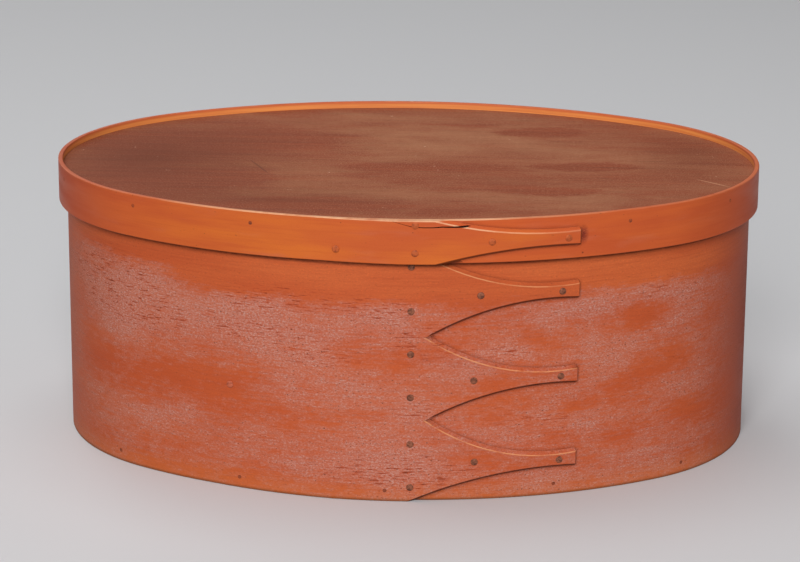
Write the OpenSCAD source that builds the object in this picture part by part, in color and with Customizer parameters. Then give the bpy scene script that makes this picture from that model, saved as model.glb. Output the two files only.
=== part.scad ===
// Oval bentwood box: two lapped and tacked bands, two let-in boards, a lid that lifts off.
// Millimetres. X runs along the box, the lap faces -Y, the box stands on Z = 0.

/* [Body] */
// Length of the body over its band
body_len = 300; // [270:1:340]
// Width of the body over its band, at the unlapped side
body_wid = 219; // [206:1:236]
// Height of the body band
body_h = 112.5; // [100:0.5:140]
// Radius of the round ends, at the outside of the band
end_r = 91.5; // [84:0.5:96]
// Thickness of the bent strips
band_t = 2; // [1.4:0.1:2.6]
// Thickness of the bottom board
bottom_t = 7.5; // [6:0.5:11]
// Gap left round a board inside its band
board_fit = 0.1; // [0.05:0.05:0.5]

/* [Body lap] */
// From the middle of the front back to the thin inner end, where the lap starts to rise
lap_thin_x = 80; // [70:1:86]
// From the middle of the front back to where the lap has its full thickness
lap_full_x = 28; // [15:1:50]
// From the middle of the front to the bottoms of the notches between the fingers
finger_root_x = 15.2; // [8:0.2:30]
// How far the bottom of each notch lies above the middle between its fingers
notch_rise = [1.3, 0.5];
// From the middle of the front to where the finger edges run level
finger_neck_x = 66; // [58:0.5:70]
// From the middle of the front to the finger tips
finger_tip_x = 75; // [70:0.5:80]
// Width of a finger's foot at its neck
finger_w = 7; // [5:0.5:11]
// Height of the lowest finger above the foot of the box
finger_low_z = 15.8; // [12:0.1:20]
// Depth of the highest finger below the top edge of the body band
finger_high_drop = 24; // [20:0.5:28]
// From the middle of the front to where the lowest finger's edge runs off the foot
foot_run_x = 9; // [4:0.5:16]
// From the middle of the front to where the highest finger's edge runs off the top
top_run_x = 3.5; // [1:0.5:10]
// Bevel of the finger edges, in degrees from square
edge_bevel = 28; // [0:1:32]

/* [Lid] */
// Height of the lid band
lid_h = 18.2; // [15:0.1:24]
// Thickness of the lid board
lid_board_t = 5.3; // [4:0.1:7]
// Depth of the lid board below the top edge of its band
lid_recess = 3; // [2.6:0.1:4]
// Clearance between the lid band and the lapped body, front and back
lid_gap = 0.5; // [0.3:0.1:1.2]
// Gap between the lid board and the top edge of the body
lid_rest_gap = 0.3; // [0.2:0.1:0.6]
// From the middle of the front back to the thin inner end of the lid's lap
lid_thin_x = 36; // [30:1:60]
// From the middle of the front back to where the lid's lap has its full thickness
lid_full_x = 4; // [0:1:20]
// From the middle of the front to where the lid finger's edges run off its band
lid_root_x = 21.5; // [16:0.5:30]
// Width of the lid finger's foot at its neck
lid_finger_w = 7.4; // [6:0.1:8]
// Depth of the lid finger below the top edge of its band
lid_finger_drop = 8.9; // [8.8:0.1:9.6]

/* [Tacks] */
// Radius of a tack head
tack_head_r = 1.5; // [1:0.1:2]
// Height of a tack head
tack_head_h = 0.45; // [0.2:0.05:0.6]
// Radius of a tack shank
tack_shank_r = 0.6; // [0.4:0.05:0.8]
// Length of the turned-over point
clinch_len = 2.4; // [1.5:0.1:3.5]
// Thickness of the turned-over point
clinch_t = 0.25; // [0.15:0.05:0.25]
// Clearance round a shank or a point in its hole
hole_fit = 0.05; // [0.02:0.01:0.1]
// Number of tacks in the column beside the finger roots
column_count = 6; // [4:1:8]
// From the middle of the front to that column
column_x = 7.4; // [4:0.2:7.8]
// Height of the lowest tack of the column
column_low_z = 6.3; // [4:0.1:10]
// Depth of the highest tack of the column below the foot of the lid band
column_high_drop = 2.1; // [2:0.1:4]
// How far each tack of the column strays from even spacing
column_stray = [0, -0.1, 1.1, 0.7, 0.1, 0];
// From the middle of the front to the tack in the broad part of each finger
finger_mid_tack_x = 33.6; // [26:0.2:46]
// How far the tack in the broad part of each finger strays along the box
finger_mid_stray_x = [0.2, -0.4, 2];
// How far that tack strays upwards
finger_mid_stray_z = [1.3, 0.2, 0];
// From the tip of each finger back to its tip tack
finger_tip_tack_back = 6.2; // [4:0.2:10]
// From the middle of the front back to the tack in the body lap's inner end
seam_tack_x = 68.4; // [50:0.2:70]
// Height of that tack
seam_tack_z = 44.9; // [20:0.1:80]
// From the middle of the front to the pair of lid tacks
lid_pair_x = 9; // [4:0.5:14]
// Depth of the upper lid tack of the pair below the top edge
lid_pair_high_drop = 1.9; // [1.6:0.1:1.9]
// Height of the lower lid tack of the pair above the foot of the lid band
lid_pair_low_rise = 4.8; // [3:0.1:6]
// From the middle of the front to the tack in the broad part of the lid finger
lid_mid_tack_x = 40; // [34:0.2:50]
// From the tip of the lid finger back to its tip tack
lid_tip_tack_back = 4.2; // [4:0.2:10]
// From the middle of the front back to the tack in the lid lap's inner end
lid_seam_tack_x = 23.2; // [10:0.2:28]
// Height of that tack above the foot of the lid band
lid_seam_tack_rise = 5.5; // [3:0.1:6]

/* [Points] */
// Radius of a point
point_r = 0.75; // [0.5:0.05:1]
// Depth that a point reaches into its board
point_depth = 9; // [5:0.5:15]
// Height of the points in the bottom board
foot_point_z = 4.7; // [3:0.1:5]
// Number of points in the bottom board
foot_point_count = 13; // [8:1:18]
// From the middle of the front round to the first of them
foot_point_first = 68; // [50:1:90]
// From the middle of the front back to the last of them
foot_point_last = 3; // [0:0.5:12]
// Depth of the points in the lid board below the board's upper face
lid_point_drop = 1.8; // [1.2:0.1:2.6]
// Number of points in the lid board
lid_point_count = 13; // [8:1:18]
// From the middle of the front round to the first of them
lid_point_first = 100; // [85:1:120]
// From the middle of the front back to the last of them
lid_point_last = 59.5; // [50:0.5:80]

/* [Hidden] */

body_paint = [0.74, 0.38, 0.27];
lid_paint = [0.78, 0.38, 0.18];
lid_wood = [0.50, 0.29, 0.22];
bottom_wood = [0.72, 0.58, 0.42];
copper = [0.42, 0.30, 0.24];
point_wood = [0.40, 0.24, 0.16];

big_fn = 240;
small_fn = 32;
// Overshoot of cuts and joins, and depth of the flats where two arcs join
clear = 1;
join_flat = 0.01;

// The oval is four arcs: two round ends and two flatter sides that run into them
half_len = body_len / 2;
half_wid = body_wid / 2;
end_x = half_len - end_r;
side_r = (end_x * end_x + half_wid * half_wid - end_r * end_r) / (2 * (half_wid - end_r));
side_y = side_r - half_wid;
side_a = atan2(end_x, side_y);

// The lid is set forward, so that it clears the lapped front and the plain back alike
lid_shift = band_t / 2;
lid_in = band_t / 2 + lid_gap;
lid_out = lid_in + band_t;
lid_board_z = body_h + lid_rest_gap;
lid_top_z = lid_board_z + lid_board_t + lid_recess;
lid_z = lid_top_z - lid_h;

finger_count = 3;
finger_pitch = (body_h - finger_high_drop - finger_low_z) / (finger_count - 1);
finger_z = [for (i = [0:finger_count - 1]) finger_low_z + i * finger_pitch];
bevel_k = tan(edge_bevel);

column_pitch = (lid_z - column_high_drop - column_low_z) / (column_count - 1);
column_z = [for (i = [0:column_count - 1])
    column_low_z + i * column_pitch + (i < len(column_stray) ? column_stray[i] : 0)];

lid_finger_z = lid_top_z - lid_finger_drop;
// The lid finger's tacks pass just below the edge of the lid board
lid_tack_z = min(lid_finger_z, lid_board_z - tack_shank_r - hole_fit);
lid_point_z = lid_board_z + lid_board_t - lid_point_drop;
clinch_gap = clinch_len * clinch_len / (2 * (end_r - band_t));

// Rise of a lap at x, from nothing at its thin end to the full strip
function lap_slope(thin, full) = band_t / (thin - full);
function lap_rise(x, thin, full) = max(0, min(band_t, (x + thin) * lap_slope(thin, full)));

// Place at a distance round the oval from the middle of the front: centre, angle and radius
function arc_len(r, a) = r * a * PI / 180;
function arc_turn(r, s) = s / r * 180 / PI;
function side_len(grow) = arc_len(side_r + grow, side_a);
function end_len(grow) = arc_len(end_r + grow, 180 - 2 * side_a);
function round_len(grow) = 4 * side_len(grow) + 2 * end_len(grow);
function spot(s, grow) =
    let (side = side_len(grow), end = end_len(grow), rs = side_r + grow, re = end_r + grow)
    s < side ? [0, side_y, -90 + arc_turn(rs, s), side_r]
    : s < side + end ? [end_x, 0, side_a - 90 + arc_turn(re, s - side), end_r]
    : s < 3 * side + end ? [0, -side_y, 90 - side_a + arc_turn(rs, s - side - end), side_r]
    : s < 3 * side + 2 * end ? [-end_x, 0, 90 + side_a + arc_turn(re, s - 3 * side - end), end_r]
    : [0, side_y, -90 - arc_turn(rs, round_len(grow) - s), side_r];
function point_run(count, first, last, grow) = [for (i = [0:count - 1])
    first + i * (round_len(grow) - last - first) / (count - 1)];

// One arc of the oval about [x, y], half_a degrees each side of direction dir, filled to its
// centre and a little past it, so that it laps over the next arc
module sector(x, y, r, dir, half_a) {
    far = 1.1 * r / cos(half_a);
    translate([x, y]) intersection() {
        circle(r = r, $fn = big_fn);
        polygon([-clear * [cos(dir), sin(dir)], far * [cos(dir - half_a), sin(dir - half_a)],
                 far * [cos(dir + half_a), sin(dir + half_a)]]);
    }
}

// The four arcs; a rhombus trims their joins to hair-thin flats, and each side arc to its own half
module oval(grow, h) {
    reach = end_x * sin(side_a) + end_r + grow - join_flat;
    wide = reach / sin(side_a);
    tall = reach / cos(side_a);
    for (s = [-1, 1], side = [true, false]) linear_extrude(h) intersection() {
        if (side) sector(0, -s * side_y, side_r + grow, s * 90, side_a);
        else sector(s * end_x, 0, end_r + grow, 90 - s * 90, 90 - side_a);
        polygon([[wide, 0], [0, side && s < 0 ? clear : tall],
                 [-wide, 0], [0, side && s > 0 ? -clear : -tall]]);
    }
}

module ring(inner, outer, h) {
    difference() {
        oval(outer, h);
        translate([0, 0, -clear]) oval(inner, h + 2 * clear);
    }
}

// Second layer of the strip at the front, on a band whose outer face is grown by grow.
// A circle set sideways cuts its thin end; inside the band it is rooted in the first layer.
module lap(grow, thin, full, tip, h) {
    r = side_r + grow;
    slope = lap_slope(thin, full);
    from_a = asin(thin / r) + clear;
    to_a = asin(tip / r);
    intersection() {
        translate([0, side_y, 0]) rotate([0, 0, -90 - from_a])
            rotate_extrude(angle = from_a + to_a, $fn = big_fn)
                translate([r - band_t / 2, 0]) square([1.5 * band_t, h]);
        translate([r * slope, side_y, -clear])
            cylinder(h = h + 2 * clear, r = r + thin * slope, $fn = big_fn);
    }
}

// Cone that trims one edge of a finger. Its wall crosses the face of radius r in a curve that
// is level at the neck and bends away by drop at the root, and it widens outwards: the bevel.
// side is 1 where the finger lies above the cone and -1 where it lies below.
module edge_cone(r, neck_z, root_x, drop, side) {
    neck_y = sqrt(r * r - finger_neck_x * finger_neck_x);
    root_y = sqrt(r * r - root_x * root_x);
    run = finger_neck_x - root_x;
    fall = bevel_k * (root_y - neck_y);
    lean = bevel_k * finger_neck_x / neck_y;
    rise = sqrt(1 - lean * lean);
    cone_r = (run * run + drop * drop - fall * fall) / (2 * (rise * drop + fall - run * lean));
    back = neck_y - r * cos(side_a) + clear;
    front = r + band_t + clear - neck_y;
    translate([finger_neck_x + cone_r * lean, side_y - neck_y + back, neck_z - side * cone_r * rise])
        rotate([90, 0, 0])
            cylinder(h = back + front, r1 = cone_r - bevel_k * back,
                     r2 = cone_r + bevel_k * front, $fn = big_fn);
}

// Bent strip with its lap, cut to its width at the end. The children trim the lap alone, down to
// the face of the first layer.
module strip(inner, thin, full, h) {
    outer = inner + band_t;
    intersection() {
        difference() {
            union() {
                translate([0, 0, -clear]) ring(inner, outer, h + 2 * clear);
                translate([0, 0, -2 * clear]) lap(outer, thin, full, finger_tip_x, h + 4 * clear);
            }
            difference() {
                union() children();
                translate([0, side_y, -2 * clear])
                    cylinder(h = h + 4 * clear, r = side_r + outer, $fn = big_fn);
            }
        }
        translate([-body_len, -body_len, 0]) cube([2 * body_len, 2 * body_len, h]);
    }
}

// Turns local Z to the outward normal of the front, at x on a face of radius r
module on_front(r, x, z) {
    translate([0, side_y, z]) rotate([0, 0, asin(x / r) - 90]) translate([r, 0, 0])
        rotate([0, 90, 0]) children();
}

// Turns local Z to the outward normal at a distance round the oval, skin above its face
module on_round(s, grow, skin, z) {
    p = spot(s, grow);
    translate([p[0], p[1], z]) rotate([0, 0, p[2]]) translate([p[3] + grow + skin, 0, 0])
        rotate([0, 90, 0]) children();
}

// Tack with a low head, a shank through grip of wood, and its point turned over along the grain
module tack(grip) {
    cylinder(h = tack_head_h, r1 = tack_head_r, r2 = tack_head_r - tack_head_h / 2, $fn = small_fn);
    translate([0, 0, -grip - clinch_gap - clinch_t])
        cylinder(h = grip + clinch_gap + clinch_t + tack_head_h / 2, r = tack_shank_r, $fn = small_fn);
    translate([-tack_shank_r, 0, -grip - clinch_gap - clinch_t])
        cube([2 * tack_shank_r, clinch_len, clinch_t]);
}

module tack_hole(grip) {
    translate([0, 0, -grip - clear])
        cylinder(h = grip + 2 * clear, r = tack_shank_r + hole_fit, $fn = small_fn);
}

// Room for a turned-over point where a board's edge lies against it
module clinch_room(grip) {
    translate([-tack_shank_r - hole_fit, -tack_shank_r - hole_fit,
               -grip - clinch_gap - clinch_t - hole_fit])
        cube([2 * (tack_shank_r + hole_fit), clinch_len + tack_shank_r + 2 * hole_fit,
              clinch_gap + clinch_t + hole_fit]);
}

module point(skin) {
    translate([0, 0, -skin - point_depth]) cylinder(h = skin + point_depth, r = point_r, $fn = small_fn);
}

module point_hole(skin) {
    translate([0, 0, -skin - point_depth - hole_fit])
        cylinder(h = skin + point_depth + clear, r = point_r + hole_fit, $fn = small_fn);
}

// Places of the tacks and points; each child is drawn once per place
module at_column() {
    for (z = column_z) on_front(side_r + band_t, column_x, z) children();
}

module at_finger(i) {
    for (spot = [[finger_mid_tack_x + finger_mid_stray_x[i], finger_mid_stray_z[i]],
                 [finger_tip_x - finger_tip_tack_back, 0]])
        on_front(side_r + band_t, spot[0], finger_z[i] + spot[1]) children();
}

// The inner end's tack sits where the lap is thin; its head clears the rising face beside it
seam_rise = lap_rise(-seam_tack_x, lap_thin_x, lap_full_x)
    + tack_head_r * lap_slope(lap_thin_x, lap_full_x);
module at_seam() {
    on_front(side_r + seam_rise, -seam_tack_x, seam_tack_z) children();
}

module at_lid_pair() {
    for (z = [lid_top_z - lid_pair_high_drop, lid_z + lid_pair_low_rise])
        on_front(side_r + lid_out + band_t, lid_pair_x, z) children();
}

module at_lid_finger() {
    for (x = [lid_mid_tack_x, finger_tip_x - lid_tip_tack_back])
        on_front(side_r + lid_out + band_t, x, lid_tack_z) children();
}

lid_seam_rise = lap_rise(-lid_seam_tack_x, lid_thin_x, lid_full_x)
    + tack_head_r * lap_slope(lid_thin_x, lid_full_x);
module at_lid_seam() {
    on_front(side_r + lid_out + lid_seam_rise, -lid_seam_tack_x, lid_z + lid_seam_tack_rise)
        children();
}

// Wood over the board at a point of the front's left half, where the lap still covers it
function foot_skin(s) = s > round_len(0) / 2
    ? lap_rise(s - round_len(0), lap_thin_x, lap_full_x) : 0;
function lid_skin(s) = s > round_len(lid_out) / 2
    ? lap_rise(s - round_len(lid_out), lid_thin_x, lid_full_x) : 0;

module body_band() {
    color(body_paint) difference() {
        strip(-band_t, lap_thin_x, lap_full_x, body_h) {
            for (i = [0:finger_count - 2]) intersection() {
                edge_cone(side_r, finger_z[i + 1] - finger_w / 2, finger_root_x,
                          (finger_pitch - finger_w) / 2 - notch_rise[i], 1);
                edge_cone(side_r, finger_z[i] + finger_w / 2, finger_root_x,
                          (finger_pitch - finger_w) / 2 + notch_rise[i], -1);
            }
            edge_cone(side_r, finger_z[0] - finger_w / 2, foot_run_x,
                      finger_z[0] - finger_w / 2, 1);
            edge_cone(side_r, finger_z[finger_count - 1] + finger_w / 2, top_run_x,
                      finger_high_drop - finger_w / 2, -1);
        }
        at_column() tack_hole(2 * band_t);
        for (i = [0:finger_count - 1]) at_finger(i) tack_hole(2 * band_t);
        at_seam() tack_hole(band_t + seam_rise);
        for (s = point_run(foot_point_count, foot_point_first, foot_point_last, 0))
            on_round(s, 0, foot_skin(s), foot_point_z) point_hole(band_t + foot_skin(s));
    }
}

module bottom_board() {
    color(bottom_wood) difference() {
        oval(-band_t - board_fit, bottom_t);
        at_column() clinch_room(2 * band_t);
        for (s = point_run(foot_point_count, foot_point_first, foot_point_last, 0))
            on_round(s, 0, foot_skin(s), foot_point_z) point_hole(band_t + foot_skin(s));
    }
}

module body_lap_tacks() {
    color(copper) at_column() tack(2 * band_t);
}

module upper_finger_tacks() {
    color(copper) at_finger(2) tack(2 * band_t);
}

module middle_finger_tacks() {
    color(copper) at_finger(1) tack(2 * band_t);
}

module lower_finger_tacks() {
    color(copper) at_finger(0) tack(2 * band_t);
}

module body_seam_tack() {
    color(copper) at_seam() tack(band_t + seam_rise);
}

module bottom_board_points() {
    color(point_wood) for (s = point_run(foot_point_count, foot_point_first, foot_point_last, 0))
        on_round(s, 0, foot_skin(s), foot_point_z) point(band_t + foot_skin(s));
}

module lid_band() {
    neck_low = lid_h - lid_finger_drop - lid_finger_w / 2;
    color(lid_paint) translate([0, -lid_shift, 0]) difference() {
        translate([0, 0, lid_z]) strip(lid_in, lid_thin_x, lid_full_x, lid_h) {
            edge_cone(side_r + lid_out, neck_low, lid_root_x, neck_low, 1);
            edge_cone(side_r + lid_out, neck_low + lid_finger_w, lid_root_x,
                      lid_h - neck_low - lid_finger_w, -1);
        }
        at_lid_pair() tack_hole(2 * band_t);
        at_lid_finger() tack_hole(2 * band_t);
        at_lid_seam() tack_hole(band_t + lid_seam_rise);
        for (s = point_run(lid_point_count, lid_point_first, lid_point_last, lid_out))
            on_round(s, lid_out, lid_skin(s), lid_point_z) point_hole(band_t + lid_skin(s));
    }
}

module lid_board() {
    color(lid_wood) translate([0, -lid_shift, 0]) difference() {
        translate([0, 0, lid_board_z]) oval(lid_in - board_fit, lid_board_t);
        for (s = point_run(lid_point_count, lid_point_first, lid_point_last, lid_out))
            on_round(s, lid_out, lid_skin(s), lid_point_z) point_hole(band_t + lid_skin(s));
    }
}

module lid_lap_tacks() {
    color(copper) translate([0, -lid_shift, 0]) at_lid_pair() tack(2 * band_t);
}

module lid_finger_tacks() {
    color(copper) translate([0, -lid_shift, 0]) at_lid_finger() tack(2 * band_t);
}

module lid_seam_tack() {
    color(copper) translate([0, -lid_shift, 0]) at_lid_seam() tack(band_t + lid_seam_rise);
}

module lid_board_points() {
    color(point_wood) translate([0, -lid_shift, 0])
        for (s = point_run(lid_point_count, lid_point_first, lid_point_last, lid_out))
            on_round(s, lid_out, lid_skin(s), lid_point_z) point(band_t + lid_skin(s));
}

body_band();
bottom_board();
body_lap_tacks();
upper_finger_tacks();
middle_finger_tacks();
lower_finger_tacks();
body_seam_tack();
bottom_board_points();
lid_band();
lid_board();
lid_lap_tacks();
lid_finger_tacks();
lid_seam_tack();
lid_board_points();
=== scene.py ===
import math

import bmesh
import bpy
from mathutils import Matrix, Vector, noise


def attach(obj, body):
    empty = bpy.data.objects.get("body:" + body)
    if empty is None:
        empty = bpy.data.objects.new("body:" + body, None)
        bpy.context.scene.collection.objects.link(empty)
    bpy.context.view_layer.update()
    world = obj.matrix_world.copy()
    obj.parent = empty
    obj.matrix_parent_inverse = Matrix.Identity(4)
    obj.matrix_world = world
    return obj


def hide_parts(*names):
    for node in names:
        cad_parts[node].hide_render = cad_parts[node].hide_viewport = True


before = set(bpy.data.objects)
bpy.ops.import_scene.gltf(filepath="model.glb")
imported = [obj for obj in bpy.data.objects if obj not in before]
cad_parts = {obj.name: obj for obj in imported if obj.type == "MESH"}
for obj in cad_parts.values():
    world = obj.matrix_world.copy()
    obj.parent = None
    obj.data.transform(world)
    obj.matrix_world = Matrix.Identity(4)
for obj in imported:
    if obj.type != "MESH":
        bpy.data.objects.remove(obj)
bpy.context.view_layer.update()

# ---------------------------------------------------------------- body band
# One long strip of maple, steamed, bent round an oval form and lapped over itself at the front,
# where its outer end is cut into three bevelled fingers. Painted outside, left bare inside.
STRIP_T = 0.002
BODY_HEIGHT = 0.1125
# The oval: centre and radius of its end arcs, radius and centre of its side arcs, half a side's turn.
END_X, END_R = 0.0585, 0.0915
SIDE_R, SIDE_Y = 0.1955625, 0.0860625
SIDE_A = math.atan2(END_X, SIDE_Y)
HALF_ROUND = 2 * SIDE_R * SIDE_A + END_R * (math.pi - 2 * SIDE_A)
WHOLE = 2 * HALF_ROUND
# The lap: the fingers' tips on one side of the front's middle, the thin inner end on the other.
FINGER_TIP = 0.075
LAP_START = 0.080
BODY_ARRIS = 0.0003
# The band's materials, in the order in which they are added to its mesh.
PAINT, RUBBED_AND_LIT_EDGE, BARE_INSIDE, SPLIT_WOOD = range(4)


def run_round(x, y, grow):
    """Distance round the oval from the middle of the front, and how far the point lies outside it."""
    ax = abs(x)
    front = math.atan2(ax, SIDE_Y - y)
    back = math.atan2(ax, SIDE_Y + y)
    turn = math.atan2(ax - END_X, -y)
    if y < 0 and front <= SIDE_A:
        s, off = SIDE_R * front, math.hypot(ax, SIDE_Y - y) - SIDE_R
    elif y >= 0 and back <= SIDE_A:
        s = SIDE_R * SIDE_A + END_R * (math.pi - 2 * SIDE_A) + SIDE_R * (SIDE_A - back)
        off = math.hypot(ax, SIDE_Y + y) - SIDE_R
    else:
        s, off = SIDE_R * SIDE_A + END_R * (turn - SIDE_A), math.hypot(ax - END_X, y) - END_R
    return math.copysign(s, x), off - grow


def outward(x, y):
    """Unit normal of the oval's wall at a point on or near it."""
    side = -1 if y < 0 else 1
    if math.atan2(abs(x), SIDE_Y + abs(y)) <= SIDE_A:
        v = Vector((x, y + side * SIDE_Y, 0))
    else:
        v = Vector((x - math.copysign(END_X, x), y, 0))
    return v.normalized()


# Corners of the CAD triangles nearer than this are one, and flatter bends than this are dissolved.
JOIN_WITHIN, FLAT_BEND = 2e-6, math.radians(0.4)
# Edges sharper than this are eased, if they are long enough to hold the easing.
SHARP_BEND, SHORTEST_ON_RIM, SHORTEST_ON_FINGER = math.radians(25), 0.0002, 0.0009
# How far up a face has to look to take pale rubbed paint and a painted highlight:
# any face, and one of an eased edge.
RUBBED_AND_LIT_FLAT, RUBBED_AND_LIT_ROUND = 0.9, 0.15
# An edge lies on a finger if it stands this far out, in strip thicknesses, and no farther past the tip.
FINGER_DEPTH, EASED_PAST_TIP = 0.6, 0.001
LEVEL_WITHIN, HAIR = 1e-6, 1e-5


def bent_strip(node, name, grow, shift, low_z, high_z, arris):
    """Copy of a band from the frame: joined up, long edges eased, upper edges marked for wear and painted
    highlight.
    """
    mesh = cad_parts[node].data.copy()
    mesh.name = name
    mesh.materials.clear()
    bm = bmesh.new()
    bm.from_mesh(mesh)
    bmesh.ops.remove_doubles(bm, verts=bm.verts, dist=JOIN_WITHIN)
    bmesh.ops.dissolve_limit(bm, angle_limit=FLAT_BEND, verts=bm.verts, edges=bm.edges)
    eased = []
    for e in bm.edges:
        if len(e.link_faces) != 2 or e.calc_face_angle(0) < SHARP_BEND:
            continue
        mid = (e.verts[0].co + e.verts[1].co) / 2
        level = abs(e.verts[0].co.z - e.verts[1].co.z) < LEVEL_WITHIN
        on_rim = level and (abs(mid.z - low_z) < HAIR or abs(mid.z - high_z) < HAIR)
        off = run_round(mid.x, mid.y + shift, grow)[1]
        on_finger = off > STRIP_T * FINGER_DEPTH and abs(mid.x) < FINGER_TIP + EASED_PAST_TIP
        long_enough = ((on_rim and e.calc_length() > SHORTEST_ON_RIM)
                       or (on_finger and e.calc_length() > SHORTEST_ON_FINGER))
        if long_enough:
            eased.append(e)
    made = bmesh.ops.bevel(bm, geom=eased, offset=arris, offset_type="OFFSET", affect="EDGES",
                           segments=2, profile=0.5, clamp_overlap=False, material=-1)
    for v in bm.verts:
        over = run_round(v.co.x, v.co.y + shift, grow)[1]
        if 0 < over < HAIR:
            v.co -= over * outward(v.co.x, v.co.y + shift)
    bm.normal_update()
    rounded = set(made["faces"])
    # Faces that look up take the pale edge paint: rubbed wear with a painted highlight.
    for f in bm.faces:
        if f.normal.z > RUBBED_AND_LIT_FLAT or (f in rounded and f.normal.z > RUBBED_AND_LIT_ROUND):
            f.material_index = RUBBED_AND_LIT_EDGE
    bm.to_mesh(mesh)
    bm.free()
    piece = bpy.data.objects.new(name, mesh)
    bpy.context.scene.collection.objects.link(piece)
    return piece


# A face is on the bare inside past the first depth and on the lap past the second, in thicknesses.
INSIDE_DEPTH, LAP_DEPTH = 0.9, 0.35
LAID_PAST_TIP = 0.002
# A wall leans no more than the first, and faces straight out of the oval by more than the second.
WALL_LEAN, WALL_STRAIGHT = 0.02, 0.995


def unroll(piece, grow, shift, lap_end):
    """Lays the grain: the strip's length and height as a UV map in metres, with the bare inside marked.
    Gives back smooth normals for the walls, which the dissolved CAD faces would shade in steps."""
    mesh = piece.data
    uv = mesh.uv_layers.new(name="strip")
    normals = [Vector(n.vector) for n in mesh.corner_normals]
    for f in mesh.polygons:
        c = f.center
        s_mid = run_round(c.x, c.y + shift, grow)[0]
        offs = [run_round(mesh.vertices[v].co.x, mesh.vertices[v].co.y + shift, grow)[1]
                for v in f.vertices]
        inside = max(offs) < -STRIP_T * INSIDE_DEPTH
        lapped = max(offs) > STRIP_T * LAP_DEPTH
        if inside:
            turn = WHOLE if s_mid < -lap_end else 0
            if f.material_index == PAINT:
                f.material_index = BARE_INSIDE
        else:
            turn = WHOLE if s_mid < 0 or (lapped and s_mid < FINGER_TIP + LAID_PAST_TIP) else 0
        faces_out = abs(f.normal.dot(outward(c.x, c.y + shift))) > WALL_STRAIGHT
        wall = abs(f.normal.z) < WALL_LEAN and faces_out
        for k in f.loop_indices:
            co = mesh.vertices[mesh.loops[k].vertex_index].co
            s = run_round(co.x, co.y + shift, grow)[0]
            if s - s_mid > HALF_ROUND:
                s -= WHOLE
            elif s_mid - s > HALF_ROUND:
                s += WHOLE
            uv.data[k].uv = (s + turn, co.z)
            if wall and f.material_index != SPLIT_WOOD:
                n = outward(co.x, co.y + shift)
                flip = -1 if n.dot(f.normal) < 0 else 1
                normals[k] = flip * n
    return normals


CREASE = math.radians(28)


def finish_mesh(piece, normals=None):
    """Smooth faces with sharp creases, and the walls' own normals where they are given."""
    mesh = piece.data
    for f in mesh.polygons:
        f.use_smooth = True
    mesh.set_sharp_from_angle(angle=CREASE)
    if normals:
        mesh.normals_split_custom_set(normals)
    mesh.update()


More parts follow.
